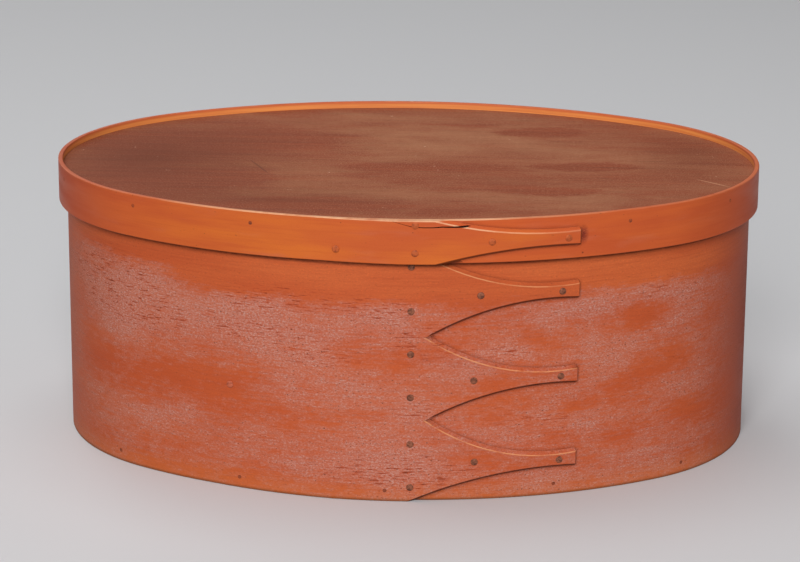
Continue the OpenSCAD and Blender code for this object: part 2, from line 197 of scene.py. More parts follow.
class Coat:
    """One material, laid up in layers: each call adds a node and gives back its output."""

    def __init__(self, name, where="strip"):
        self.material = bpy.data.materials.new(name)
        self.material.use_nodes = True
        self.tree = self.material.node_tree
        self.shader = self.tree.nodes["Principled BSDF"]
        if where == "strip":
            uv = self.tree.nodes.new("ShaderNodeUVMap")
            uv.uv_map = "strip"
            self.place = uv.outputs["UV"]
        else:
            self.place = self.tree.nodes.new("ShaderNodeTexCoord").outputs["Object"]

    def link(self, value, socket):
        if isinstance(value, bpy.types.NodeSocket):
            self.tree.links.new(value, socket)
        elif isinstance(value, (tuple, list)) and len(value) == 3 and len(socket.default_value) == 4:
            socket.default_value = (*value, 1)
        else:
            socket.default_value = value

    def sum(self, how, a, b, c=0.0, clamp=False):
        """One step of arithmetic between layers or plain values."""
        n = self.tree.nodes.new("ShaderNodeMath")
        n.operation, n.use_clamp = how, clamp
        for value, socket in zip((a, b, c), n.inputs):
            self.link(value, socket)
        return n.outputs[0]

    def shift(self, scale, at=(0, 0, 0)):
        """The piece's own place, stretched and moved."""
        n = self.tree.nodes.new("ShaderNodeMapping")
        self.link(self.place, n.inputs["Vector"])
        n.inputs["Location"].default_value = at
        n.inputs["Scale"].default_value = scale
        return n.outputs[0]

    def noise(self, scale, detail=3.0, rough=0.55, warp=0.0, at=(0, 0, 0)):
        """Cloudy pattern. scale is its number of clouds to the metre along each way."""
        place = self.shift(scale, at)
        n = self.tree.nodes.new("ShaderNodeTexNoise")
        n.inputs["Scale"].default_value = 1.0
        n.inputs["Detail"].default_value = detail
        n.inputs["Roughness"].default_value = rough
        n.inputs["Distortion"].default_value = warp
        self.link(place, n.inputs["Vector"])
        return n.outputs["Fac"]

    def window(self, value, low, high, to_low=0.0, to_high=1.0):
        """Smooth ramp of a value between two limits."""
        n = self.tree.nodes.new("ShaderNodeMapRange")
        n.interpolation_type = "SMOOTHSTEP"
        self.link(value, n.inputs["Value"])
        for key, v in (("From Min", low), ("From Max", high), ("To Min", to_low), ("To Max", to_high)):
            n.inputs[key].default_value = v
        return n.outputs["Result"]

    def over(self, fac, under, top):
        """Lays one colour over another, as far as fac says."""
        n = self.tree.nodes.new("ShaderNodeMix")
        n.data_type = "RGBA"
        self.link(fac, n.inputs["Factor"])
        self.link(under, n.inputs[6])
        self.link(top, n.inputs[7])
        return n.outputs[2]

    def patch(self, at, size, turn=0.0, place=None):
        """Soft oval patch, 1 at its middle and 0 at its rim. at and size are in metres."""
        m = self.tree.nodes.new("ShaderNodeMapping")
        m.vector_type = "TEXTURE"
        self.link(place or self.place, m.inputs["Vector"])
        m.inputs["Location"].default_value = (at[0], at[1], 0)
        m.inputs["Rotation"].default_value = (0, 0, turn)
        m.inputs["Scale"].default_value = (size[0], size[1], 1000)
        n = self.tree.nodes.new("ShaderNodeTexGradient")
        n.gradient_type = "SPHERICAL"
        self.link(m.outputs[0], n.inputs["Vector"])
        return n.outputs["Fac"]

    def patches(self, spots, place=None):
        """Sum of soft patches, each given as (x, y, half length, half height, weight, turn)."""
        total = 0.0
        for x, y, lx, ly, weight, turn in spots:
            total = self.sum("MULTIPLY_ADD", self.patch((x, y), (lx, ly), math.radians(turn), place),
                             weight, total)
        return total

    def ragged(self, scale, reach):
        """The piece's own place, shaken by a noise, so that what is laid out on it has ragged rims."""
        place = self.shift(scale)
        blur = self.tree.nodes.new("ShaderNodeTexNoise")
        blur.inputs["Scale"].default_value = 1.0
        blur.inputs["Detail"].default_value = 4.0
        blur.inputs["Roughness"].default_value = .6
        self.link(place, blur.inputs["Vector"])
        centred = self.tree.nodes.new("ShaderNodeVectorMath")
        centred.operation = "SUBTRACT"
        self.link(self.place, centred.inputs[0])
        centred.inputs[1].default_value = tuple(r / 2 for r in reach)
        shaken = self.tree.nodes.new("ShaderNodeVectorMath")
        shaken.operation = "MULTIPLY_ADD"
        self.link(blur.outputs["Color"], shaken.inputs[0])
        shaken.inputs[1].default_value = reach
        self.link(centred.outputs[0], shaken.inputs[2])
        return shaken.outputs[0]

    def split(self, place=None):
        n = self.tree.nodes.new("ShaderNodeSeparateXYZ")
        self.link(place or self.place, n.inputs[0])
        return n.outputs

    def crevice_shade_and_grime(self, colour, dirt):
        """Painted shade and dirt where one face meets another closely, such as along the foot of a
        finger's edge.
        """
        reach, most = .0022, .95
        n = self.tree.nodes.new("ShaderNodeAmbientOcclusion")
        n.samples, n.only_local = 6, True
        n.inputs["Distance"].default_value = reach
        return self.over(self.window(n.outputs["AO"], .5, .98, most, 0), colour, dirt)

    def undercut(self, colour, dirt):
        """Shade and dirt on narrow faces that look down, such as the lower edge of a finger."""
        most = .75
        n = self.tree.nodes.new("ShaderNodeNewGeometry")
        up = self.split(n.outputs["Normal"])["Z"]
        return self.over(self.window(up, -.6, -.15, most, 0), colour, dirt)

    def relief(self, height, depth, strength):
        """Fine unevenness of the surface, depth in metres."""
        n = self.tree.nodes.new("ShaderNodeBump")
        n.inputs["Strength"].default_value = strength
        n.inputs["Distance"].default_value = depth
        self.link(height, n.inputs["Height"])
        self.tree.links.new(n.outputs[0], self.shader.inputs["Normal"])

    def done(self, colour, rough, **sockets):
        """Joins the colour and the roughness to the shader, and sets its other sockets by name."""
        self.link(colour, self.shader.inputs["Base Color"])
        self.link(rough, self.shader.inputs["Roughness"])
        for key, value in sockets.items():
            self.link(value, self.shader.inputs[key.replace("_", " ")])
        return self.material


def shade(red, green, blue):
    """Colour as seen, 0 to 255, to the light values that the shader takes."""
    return tuple((c / 255 / 12.92 if c <= 10 else ((c / 255 + 0.055) / 1.055) ** 2.4)
                 for c in (red, green, blue))


ORANGE = shade(225, 113, 60)
DEEP_RED = shade(174, 70, 36)
CHALK = shade(206, 160, 148)
DARK_DIRT = shade(84, 42, 28)

# Where the paint has gone chalky and where it is still sound, in millimetres: along the strip from
# the middle of the front, up from the foot, half length, half height, then weight and turn. The
# strip's own length is counted on past the front, so what lies at its left is moved on by WHOLE.
CHALK_LEFT = [(-120, 92, 66, 7, 1.2, 0), (-155, 92, 24, 11, .9, 0), (-122, 78, 42, 22, .75, 0),
              (-138, 66, 26, 20, .45, 0), (-112, 82, 20, 8, .5, 0),
              (-120, 62, 20, 11, .45, 0), (-78, 72, 46, 15, .75, 0), (-62, 80, 26, 7, .5, 0),
              (-40, 70, 40, 16, .62, 0), (-30, 58, 34, 10, .35, 0), (-2, 80, 18, 8, .8, 0),
              (2, 72, 16, 8, .5, 0), (-10, 46, 26, 12, .42, 0), (8, 40, 14, 10, .5, 0),
              (-42, 46, 30, 9, .4, 0), (0, 22, 30, 16, .55, 0), (-18, 14, 38, 12, .5, 0),
              (12, 12, 26, 12, .45, 0), (-60, 26, 40, 14, .3, 0), (-110, 26, 34, 12, .4, 0),
              (-140, 30, 18, 20, .3, 0), (26, 54, 18, 12, .35, 0), (-170, 84, 40, 22, .4, 0),
              (22, 92, 16, 8, .35, 0), (-230, 50, 70, 40, .5, 0), (-330, 70, 80, 30, .5, 0)]
SOUND_LEFT = [(-60, 100, 110, 12, .9, 0), (-130, 102, 60, 9, .6, 0), (-145, 44, 18, 16, .55, 0),
              (-122, 38, 32, 12, .35, 0),
              (-92, 47, 30, 10, .5, 0), (-70, 47, 16, 9, .5, 0), (-80, 40, 44, 9, .35, 0),
              (-16, 62, 14, 12, .45, 0), (-38, 84, 10, 5, .3, 0), (-52, 33, 30, 8, .35, 0),
              (2, 62, 10, 8, .4, 0), (38, 84, 22, 5, .35, 0), (40, 50, 16, 6, .35, 0),
              (34, 18, 16, 6, .3, 0), (-80, 4, 90, 5, .35, 0), (20, 104, 30, 10, .5, 0)]
CHALK_RIGHT = [(88, 84, 24, 10, .8, 0), (66, 78, 22, 10, .45, 0), (112, 88, 26, 10, .6, -8),
               (132, 80, 30, 16, .45, 0), (84, 66, 20, 12, .5, 30), (50, 64, 18, 8, .55, 0),
               (104, 62, 24, 9, .45, 12), (36, 62, 12, 6, .4, 0), (60, 40, 26, 10, .4, 0),
               (88, 48, 20, 8, .4, 30), (84, 30, 22, 10, .5, 0), (44, 28, 20, 7, .45, 0),
               (62, 8, 26, 8, .5, 0), (112, 14, 34, 14, .45, 0), (130, 38, 26, 9, .4, 10),
               (150, 60, 22, 26, .15, 0), (210, 60, 60, 34, .55, 0), (300, 40, 70, 30, .5, 0),
               (380, 76, 70, 26, .5, 0)]
SOUND_RIGHT = [(70, 101, 60, 10, .8, 0), (130, 103, 50, 8, .6, 0), (104, 72, 22, 8, .7, 0),
               (60, 68, 12, 6, .5, 0), (56, 74, 14, 5, .3, 0), (112, 50, 30, 8, .6, 12),
               (78, 39, 14, 6, .8, 0), (50, 44, 20, 7, .45, 0), (100, 22, 14, 10, .55, 20),
               (128, 28, 22, 7, .45, 0), (64, 52, 10, 5, .4, 0), (152, 30, 26, 12, .4, 0)]

# Where the chalky paint is also flaking off in short splinters along the grain.
FLAKED_LEFT = [(-134, 80, 40, 20, 1, 0), (-108, 70, 24, 12, .6, 0), (-50, 84, 30, 8, 1, 0),
               (-62, 70, 44, 10, .6, 0), (-8, 82, 24, 8, .8, 0), (14, 69, 20, 10, 1, 0),
               (-30, 62, 24, 8, .6, 0), (14, 11, 24, 11, .9, 0), (-14, 12, 30, 11, .5, 0),
               (8, 40, 16, 9, .5, 0)]
FLAKED_RIGHT = [(44, 63, 22, 5, .6, 0), (62, 34, 26, 5, .5, 0), (120, 84, 30, 9, .45, 0),
                (230, 60, 70, 40, .6, 0), (340, 50, 60, 36, .6, 0)]


def in_metres(spots, start=0.0, sign=1):
    """Patches that are given in millimetres, moved along and turned to metres."""
    mm = .001
    return [(start + x * mm, y * mm, lx * mm, ly * mm, sign * weight, turn)
            for x, y, lx, ly, weight, turn in spots]


def painted_band(name, edge_only=False):
    """Old red-orange paint over a long-grained strip: sound and smooth under the lid, elsewhere gone
    chalky and worn along the grain, with fine dark pits."""
    coat = Coat(name)
    drift = coat.ragged((38, 90, 1), (.022, .010, 0))
    layout = coat.patches(in_metres(CHALK_LEFT, WHOLE) + in_metres(SOUND_LEFT, WHOLE, -1)
                          + in_metres(CHALK_RIGHT) + in_metres(SOUND_RIGHT, sign=-1), drift)
    flaky = coat.patches(in_metres(FLAKED_LEFT, WHOLE) + in_metres(FLAKED_RIGHT), drift)

    height_up = coat.split(drift)["Y"]
    cloud = coat.noise((58, 96, 1), 5, .62, .4)
    streak = coat.noise((30, 900, 1), 4, .6, .2)
    scuff = coat.noise((240, 480, 1), 5, .72, .4, at=(6, 2, 0))
    speckle = coat.noise((950, 1500, 1), 4, .85)
    worn = coat.sum("MULTIPLY_ADD", coat.sum("SUBTRACT", cloud, .5), 1.3, layout)
    worn = coat.sum("MULTIPLY_ADD", coat.sum("SUBTRACT", streak, .5), 1.3, worn)
    worn = coat.sum("MULTIPLY_ADD", coat.sum("SUBTRACT", scuff, .5), 2.0, worn)
    worn = coat.sum("ADD", worn, coat.window(height_up, .081, .094, .3, -1.0))
    worn = coat.window(worn, -.25, 1.2)
    chalk = coat.sum("MULTIPLY", worn, coat.window(speckle, .36, .64, .14, 1.0))

    foot = coat.split()["Y"]
    tone = coat.window(coat.noise((9, 60, 1), 4, .55, at=(1, 4, 0)), .3, .72)
    paint = coat.over(tone, ORANGE, shade(206, 92, 48))
    paint = coat.over(coat.window(height_up, .080, .094, .6, 0), paint, shade(194, 82, 44))
    paint = coat.over(coat.window(streak, .44, .7, 0, .3), paint, DEEP_RED)
    paint = coat.over(coat.window(foot, .0, .012, .55, 0), paint, shade(220, 120, 62))
    colour = coat.over(coat.sum("MULTIPLY", chalk, .92), paint, CHALK)
    colour = coat.over(coat.window(speckle, .5, .66, .35, 0), colour, shade(160, 76, 48))

    flakes = coat.noise((150, 1500, 1), 4, .7, .3, at=(9, 1, 0))
    bare = coat.sum("MULTIPLY", coat.window(flakes, .54, .60), coat.window(flaky, .02, .5, .05, 1))
    colour = coat.over(coat.sum("MULTIPLY", bare, .85), colour, shade(180, 70, 34))
    core = coat.sum("MULTIPLY", coat.window(flakes, .59, .65), coat.window(flaky, .02, .6, 0, 1))
    colour = coat.over(coat.sum("MULTIPLY", core, .6), colour, DARK_DIRT)
    dots = coat.noise((1000, 1300, 1), 1, .5, at=(5, 5, 0))
    colour = coat.over(coat.sum("MULTIPLY", coat.window(dots, .64, .74, 0, .75),
                                coat.window(worn, .1, .7, .35, 1)), colour, DARK_DIRT)
    # Painted highlight with rubbed wear: a pale line along the eased edges that look up.
    if edge_only:
        rub_and_highlight = coat.window(coat.noise((60, 160, 1), 4, .6, at=(4, 4, 0)), .3, .56)
        colour = coat.over(coat.sum("MULTIPLY", rub_and_highlight, .62), colour, shade(232, 160, 110))
    # Painted shadow of the lid's rim on the band, just under where the rim comes down, also standing as a
    # line of grime.
    lid_rim_shadow_and_grime = coat.sum("MULTIPLY", coat.window(foot, .1002, .1016), coat.window(foot, .1026, .1036, 1, 0))
    lid_rim_shadow_and_grime = coat.sum("MULTIPLY", lid_rim_shadow_and_grime, coat.window(scuff, .35, .6, .35, .7))
    colour = coat.over(lid_rim_shadow_and_grime, colour, shade(84, 36, 20))
    # Painted contact shadow along the very foot of the band, with a worn, dirty edge.
    colour = coat.over(coat.window(foot, .0003, .0016, .7, 0), colour, shade(116, 66, 30))
    # Painted shade over the right end of the band, where the light falls off round the curve.
    body_shaded_end = coat.patches([(.205, .056, .070, .120, .85, 0)])
    colour = coat.over(body_shaded_end, colour, shade(153, 57, 32))
    # Painted shade with dirt: darker on faces that look down and where faces meet closely.
    colour = coat.undercut(colour, shade(70, 28, 16))
    colour = coat.crevice_shade_and_grime(colour, shade(50, 20, 12))
    height = coat.sum("MULTIPLY_ADD", scuff, .6, streak)
    height = coat.sum("MULTIPLY_ADD", coat.window(flakes, .56, .66), -.7, height)
    coat.relief(height, .00012, .6)
    rough = coat.window(chalk, 0, .8, .5, .9)
    return coat.done(colour, rough, Specular_IOR_Level=.12)


def bare_maple(name):
    """Inside of the strips: unpainted maple, gone honey brown, with long close grain."""
    coat = Coat(name)
    grain = coat.noise((14, 520, 1), 5, .6, .3)
    flecks = coat.noise((120, 1700, 1), 3, .6)
    colour = coat.over(coat.window(grain, .3, .7), shade(214, 162, 106), shade(184, 128, 80))
    colour = coat.over(coat.window(flecks, .55, .75, 0, .5), colour, shade(134, 88, 54))
    colour = coat.over(coat.window(coat.noise((12, 26, 1), 3, .6), .45, .75, 0, .4), colour,
                       shade(150, 104, 68))
    coat.relief(coat.sum("MULTIPLY_ADD", flecks, .5, grain), .0001, .6)
    return coat.done(colour, .62, Specular_IOR_Level=.3)


body_band = bent_strip("body_band", "body_band_dressed", 0.0, 0.0, 0.0, BODY_HEIGHT, BODY_ARRIS)
finish_mesh(body_band, unroll(body_band, 0.0, 0.0, LAP_START))
inside_maple = bare_maple("bare_maple")
for finish in (painted_band("red_paint"), painted_band("red_paint_edges", True), inside_maple):
    body_band.data.materials.append(finish)
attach(body_band, "box")
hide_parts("body_band")

# ---------------------------------------------------------------- bottom board
# Oval pine board, let into the foot of the band and held by small wooden points.
# Left bare: dusty yellow-brown pine, the same finish all over.


def flat_pine(name, pale, dark, dusty, dust):
    """Flat-sawn pine in two tones, with dust over part of it."""
    coat = Coat(name, "Object")
    rings = coat.tree.nodes.new("ShaderNodeTexWave")
    rings.bands_direction = "Y"
    rings.inputs["Scale"].default_value = 1.0
    rings.inputs["Distortion"].default_value = 5.0
    rings.inputs["Detail"].default_value = 3.0
    rings.inputs["Detail Scale"].default_value = 1.2
    coat.link(coat.shift((5, 26, 20), at=(2, 1, 0)), rings.inputs["Vector"])
    grain = coat.noise((8, 420, 90), 4, .6, .2)
    pores = coat.noise((60, 1500, 300), 3, .6)
    colour = coat.over(coat.window(rings.outputs["Fac"], .2, .9), pale, dark)
    colour = coat.over(coat.window(grain, .4, .72, 0, .6), colour, dark)
    colour = coat.over(coat.window(pores, .58, .75, 0, .5), colour, shade(96, 64, 44))
    dirt = coat.noise((14, 22, 10), 5, .65, at=(3, 3, 0))
    colour = coat.over(coat.window(dirt, .48, .78, 0, dust), colour, dusty)
    coat.relief(coat.sum("MULTIPLY_ADD", pores, .5, grain), .00012, .6)
    return coat.done(colour, .68, Specular_IOR_Level=.3)


def coated(node, finish):
    """A piece that stands as the CAD made it, given its finish."""
    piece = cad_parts[node]
    piece.data.materials.clear()
    piece.data.materials.append(finish)
    return piece


bottom_board = coated("bottom_board", flat_pine("bare_pine", shade(206, 164, 112), shade(170, 120, 74),
                                                shade(122, 96, 76), .5))

# ---------------------------------------------------------------- body tacks
# Small hand-made copper tacks: a flat round head hammered nearly flush, a shank through both layers
# of the strip, and a point turned over along the grain inside. Six stand in a column beside the
# roots of the fingers, and two along each finger.
HEAD_R, HEAD_H, SHANK_R = .0015, .00045, .0006
CLINCH_LEN, CLINCH_T, CLINCH_GAP = .0024, .00025, .000033
HEAD_SEAT, HEAD_SIDES = .00002, 20
# How far the heads are out of round and hammered flat, and how closely their dents lie, to the metre.
OUT_OF_ROUND, HAMMERED, DENTS = .05, .18, 900


def front_frame(x, z, radius, shift):
    """Turns a tack's own Z to the outward normal of the front, at x and z on a face of that radius."""
    lean = math.asin(x / radius)
    out = Vector((math.sin(lean), -math.cos(lean), 0))
    along = Vector((math.cos(lean), math.sin(lean), 0))
    up = Vector((0, 0, -1))
    turn = Matrix((up, along, out)).transposed().to_4x4()
    centre = Vector((0, SIDE_Y - shift, z)) + out * radius
    return Matrix.Translation(centre) @ turn


def turned_over_point(grip):
    """The tack's point, folded flat along the grain and tapering towards its end."""
    bm = bmesh.new()
    verts = bmesh.ops.create_cube(bm, size=1)["verts"]
    bmesh.ops.scale(bm, verts=verts, vec=(2 * SHANK_R * .9, CLINCH_LEN, CLINCH_T))
    bmesh.ops.translate(bm, verts=verts, vec=(0, CLINCH_LEN / 2, -grip - CLINCH_GAP - CLINCH_T / 2))
    long_edges = [e for e in bm.edges
                  if abs(e.verts[0].co.y - e.verts[1].co.y) > CLINCH_LEN / 2]
    bmesh.ops.subdivide_edges(bm, edges=long_edges, cuts=4, use_grid_fill=True)
    for v in bm.verts:
        t = max(0, v.co.y / CLINCH_LEN)
        v.co.x *= 1 - .72 * t * t
        if v.co.z < -grip - CLINCH_GAP - CLINCH_T / 2:
            v.co.z += CLINCH_T * .45 * t
    mesh = bpy.data.meshes.new("point")
    bm.to_mesh(mesh)
    bm.free()
    return mesh


def tack_group(name, node, spots, material, body):
    """All tacks of one row as one piece. spots holds each tack's place and the wood it grips."""
    bm = bmesh.new()
    for number, (place, grip) in enumerate(spots):
        one = bmesh.new()
        profile = [(0, HEAD_H), (HEAD_R * .45, HEAD_H * .99), (HEAD_R * .78, HEAD_H * .86),
                   (HEAD_R * .94, HEAD_H * .58), (HEAD_R, HEAD_H * .22), (HEAD_R * .985, HEAD_SEAT),
                   (SHANK_R * 1.3, HEAD_SEAT), (SHANK_R, -.0003), (SHANK_R, -grip - CLINCH_GAP),
                   (SHANK_R * .7, -grip - CLINCH_GAP - CLINCH_T), (0, -grip - CLINCH_GAP - CLINCH_T)]
        line = [one.verts.new((r, 0, h)) for r, h in profile]
        edges = [one.edges.new(pair) for pair in zip(line, line[1:])]
        bmesh.ops.spin(one, geom=line + edges, cent=(0, 0, 0), axis=(0, 0, 1), dvec=(0, 0, 0),
                       angle=2 * math.pi, steps=HEAD_SIDES, use_merge=True, use_duplicate=False)
        bmesh.ops.remove_doubles(one, verts=one.verts, dist=1e-7)
        for v in one.verts:
            if v.co.z > 0:
                around = math.atan2(v.co.y, v.co.x)
                rim = Vector((math.cos(around), math.sin(around), number * 3.1))
                v.co.xy *= 1 + OUT_OF_ROUND * noise.noise(rim)
                dent = Vector((v.co.x * DENTS, v.co.y * DENTS, number * 1.7))
                v.co.z *= 1 - HAMMERED * abs(noise.noise(dent))
        tip = turned_over_point(grip)
        one.from_mesh(tip)
        bpy.data.meshes.remove(tip)
        bmesh.ops.recalc_face_normals(one, faces=one.faces)
        bmesh.ops.transform(one, matrix=place, verts=one.verts)
        part = bpy.data.meshes.new("tack")
        one.to_mesh(part)
        one.free()
        bm.from_mesh(part)
        bpy.data.meshes.remove(part)
    mesh = bpy.data.meshes.new(name)
    bm.to_mesh(mesh)
    bm.free()
    piece = bpy.data.objects.new(name, mesh)
    bpy.context.scene.collection.objects.link(piece)
    finish_mesh(piece)
    mesh.materials.append(material)
    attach(piece, body)
    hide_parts(node)


def old_copper(name, light, dark):
    """Copper gone brown, spotted darker."""
    coat = Coat(name, "Object")
    patina = coat.noise((900, 900, 900), 3, .6, .4)
    spots = coat.noise((2600, 2600, 2600), 2, .6)
    colour = coat.over(coat.window(patina, .38, .66), light, dark)
    colour = coat.over(coat.window(spots, .56, .7, 0, .7), colour, shade(70, 42, 34))
    coat.relief(coat.sum("MULTIPLY_ADD", spots, .5, patina), .00008, .7)
    return coat.done(colour, coat.window(patina, .3, .7, .6, .8), Specular_IOR_Level=.2)


oxidised = old_copper("oxidised_copper", shade(150, 90, 66), shade(98, 56, 42))
BODY_FACE = SIDE_R + STRIP_T
TWO_LAYERS = 2 * STRIP_T
COLUMN_X, COLUMN_Z = .0074, (.0063, .0251, .0452, .0637, .0820, .1008)
tack_group("body_lap_tacks_dressed", "body_lap_tacks",
           [(front_frame(COLUMN_X, z, BODY_FACE, 0), TWO_LAYERS) for z in COLUMN_Z],
           oxidised, "box")
FINGER_TACKS = {"lower_finger_tacks": ((.0338, .0171), (.0688, .0158)),
                "middle_finger_tacks": ((.0332, .05235), (.0688, .05215)),
                "upper_finger_tacks": ((.0356, .0885), (.0688, .0885))}
for node, spots in FINGER_TACKS.items():
    tack_group(node + "_dressed", node,
               [(front_frame(x, z, BODY_FACE, 0), TWO_LAYERS) for x, z in spots],
               oxidised, "box")

# ---------------------------------------------------------------- body seam tack
# One more copper tack, through the thinned inner end of the lap. It was painted over with the band,
# and its paint has gone as chalky as the paint round it.
SEAM_X, SEAM_Z = -.0684, .0449
SEAM_RISE = .0005


def painted_copper(name, light, dark):
    """Paint over a copper head, rubbed thin in small spots."""
    coat = Coat(name, "Object")
    worn = coat.noise((800, 800, 800), 3, .6)
    colour = coat.over(coat.window(worn, .4, .66), light, dark)
    colour = coat.over(coat.window(coat.noise((2400, 2400, 2400), 2, .6), .58, .7, 0, .6), colour,
                       shade(104, 66, 52))
    coat.relief(worn, .00008, .6)
    return coat.done(colour, .6, Specular_IOR_Level=.2)


tack_group("body_seam_tack_dressed", "body_seam_tack",
           [(front_frame(SEAM_X, SEAM_Z, SIDE_R + SEAM_RISE, 0), STRIP_T + SEAM_RISE)],
           painted_copper("chalky_paint_over_copper", shade(196, 102, 74), shade(164, 80, 56)),
           "box")

# ---------------------------------------------------------------- bottom board points
# A ring of small wooden points, driven through the foot of the band into the edge of the board and
# cut off nearly flush, then painted over.


def wood_points(name, tone):
    """End of a point, painted once and dirty since."""
    coat = Coat(name, "Object")
    colour = coat.over(coat.window(coat.noise((900, 900, 900), 3, .6), .4, .8), tone, DARK_DIRT)
    return coat.done(colour, .7, Specular_IOR_Level=.3)


body_points = coated("bottom_board_points", wood_points("body_points_wood", shade(150, 72, 44)))

# ---------------------------------------------------------------- lid band
# A narrower strip of the same maple, lapped once with a single finger, its paint glossier, rubbed pale
# and given a painted highlight along the top arris. An old split runs level from the top edge to the
# finger.
LID_SHIFT, LID_GROW = .001, .0035
LID_LOW, LID_HIGH = .1029, .1211
LID_LAP_START, LID_ARRIS = .036, .00035
LID_FACE = SIDE_R + LID_GROW + STRIP_T
lid_band = bent_strip("lid_band", "lid_band_dressed", LID_GROW, LID_SHIFT, LID_LOW, LID_HIGH, LID_ARRIS)

# The split, station by station: along the strip, height, half its width.
SPLIT_OUT, SPLIT_IN, SPLIT_NARROWS = .0008, -.0014, .3
SPLIT = [(.0000, .1208, .00008), (.0040, .1197, .00012), (.0080, .11864, .00019), (.0120, .1184, .00022),
         (.0160, .1184, .00026), (.0200, .1187, .00032), (.0240, .1186, .00040), (.0280, .1187, .00052),
         (.0315, .1189, .00060), (.0345, .1191, .00030)]


def split_cutter():
    """Thin ragged wedge that follows the split, drawn out from one station to the next."""
    bm = bmesh.new()

    def station(x, z, half):
        place = front_frame(x, z, LID_FACE, LID_SHIFT)
        narrow = half * SPLIT_NARROWS
        return [place @ Vector(p) for p in ((half, 0, SPLIT_OUT), (-half, 0, SPLIT_OUT),
                                            (-narrow, 0, SPLIT_IN), (narrow, 0, SPLIT_IN))]

    end = face = bm.faces.new([bm.verts.new(p) for p in station(*SPLIT[0])])
    for stop in SPLIT[1:]:
        inner = face
        grown = bmesh.ops.extrude_face_region(bm, geom=[inner])
        face = [g for g in grown["geom"] if isinstance(g, bmesh.types.BMFace)][0]
        for v, p in zip(face.verts, station(*stop)):
            v.co = p
        if inner is not end and inner.is_valid:
            bmesh.ops.delete(bm, geom=[inner], context="FACES_ONLY")
    bmesh.ops.recalc_face_normals(bm, faces=bm.faces)
    for f in bm.faces:
        f.material_index = SPLIT_WOOD
    mesh = bpy.data.meshes.new("split_cutter")
    bm.to_mesh(mesh)
    bm.free()
    cutter = bpy.data.objects.new("split_cutter", mesh)
    bpy.context.scene.collection.objects.link(cutter)
    return cutter


cutter = split_cutter()
cut = lid_band.modifiers.new("split", "BOOLEAN")
cut.operation, cut.object, cut.solver = "DIFFERENCE", cutter, "EXACT"
opened = bpy.data.meshes.new_from_object(lid_band.evaluated_get(bpy.context.evaluated_depsgraph_get()))
lid_band.modifiers.clear()
lid_band.data = opened
opened.name = "lid_band_dressed"
bpy.data.objects.remove(cutter)
finish_mesh(lid_band, unroll(lid_band, LID_GROW, LID_SHIFT, LID_LAP_START))


def glossy_band(name, edge_only=False):
    """The lid's paint: sound and a little glossy, with painted light making it yellower left of the middle
    and painted shade making it redder and darker at the ends.
    """
    coat = Coat(name)
    streak = coat.noise((26, 900, 1), 4, .6, .2)
    soft = coat.noise((20, 120, 1), 4, .55, at=(4, 1, 0))
    grit = coat.noise((2200, 3000, 1), 2, .7)
    colour = coat.over(coat.window(soft, .3, .7), shade(206, 96, 46), shade(196, 86, 44))
    # Painted light: yellower paint about the middle of the front, most to the left of it, where the lamp
    # falls strongest.
    lit_yellow = coat.patches([(WHOLE - .050, .110, .085, .016, .9, 0), (WHOLE + .018, .106, .03, .010, .7, 0),
                           (WHOLE + .050, .112, .02, .008, .5, 0)])
    lit_yellow = coat.sum("MULTIPLY", lit_yellow, coat.window(soft, .25, .75, 1, .3), clamp=True)
    colour = coat.over(lit_yellow, colour, shade(218, 116, 42))
    colour = coat.over(coat.window(streak, .45, .75, 0, .3), colour, shade(184, 76, 38))
    pink = coat.noise((34, 150, 1), 4, .6, at=(8, 8, 0))
    colour = coat.over(coat.window(pink, .52, .74, 0, .3), colour, shade(202, 112, 82))
    colour = coat.over(coat.window(grit, .5, .72, 0, .25), colour, shade(160, 72, 38))
    # Painted shade at both ends of the lid's band, where the light falls off round the curve.
    lid_shaded_ends = coat.patches([(.205, .112, .085, .08, .8, 0), (WHOLE - .205, .112, .085, .08, .9, 0)])
    colour = coat.over(lid_shaded_ends, colour, shade(176, 64, 27))
    specks = coat.noise((500, 900, 1), 2, .5, at=(1, 6, 0))
    colour = coat.over(coat.window(specks, .72, .78, 0, .8), colour, DARK_DIRT)
    rubbed = coat.patches([(.0775, .1126, .0024, .0046, 1.4, 0)])
    colour = coat.over(coat.sum("MULTIPLY", rubbed, coat.window(grit, .3, .55), clamp=True), colour,
                       shade(126, 46, 30))
    # Painted highlight along the lid's top arris, brightest over the front, broken by rubbed pale wear.
    if edge_only:
        glint = coat.patches([(WHOLE - .012, .121, .120, .030, 1.2, 0), (-.012, .121, .120, .030, 1.2, 0)])
        rub_and_highlight = coat.window(coat.noise((60, 120, 1), 4, .6, at=(4, 4, 0)), .28, .58, .3, 1)
        colour = coat.over(coat.sum("MULTIPLY", rub_and_highlight, coat.window(glint, .1, 1, .12, .8)), colour,
                           shade(244, 192, 148))
    # Painted shade with dirt: darker on faces that look down and where faces meet closely.
    colour = coat.undercut(colour, shade(78, 28, 14))
    colour = coat.crevice_shade_and_grime(colour, shade(60, 20, 10))
    coat.relief(coat.sum("MULTIPLY_ADD", streak, .6, coat.sum("MULTIPLY", grit, .3)), .0001, .6)
    return coat.done(colour, coat.window(soft, .3, .7, .4, .55), Specular_IOR_Level=.18)


def split_wood(name):
    """Very dark wood down inside the split."""
    coat = Coat(name, "Object")
    colour = coat.over(coat.window(coat.noise((300, 300, 2000), 3, .6), .3, .7), shade(70, 34, 22),
                       shade(36, 18, 14))
    return coat.done(colour, .9, Specular_IOR_Level=.1)


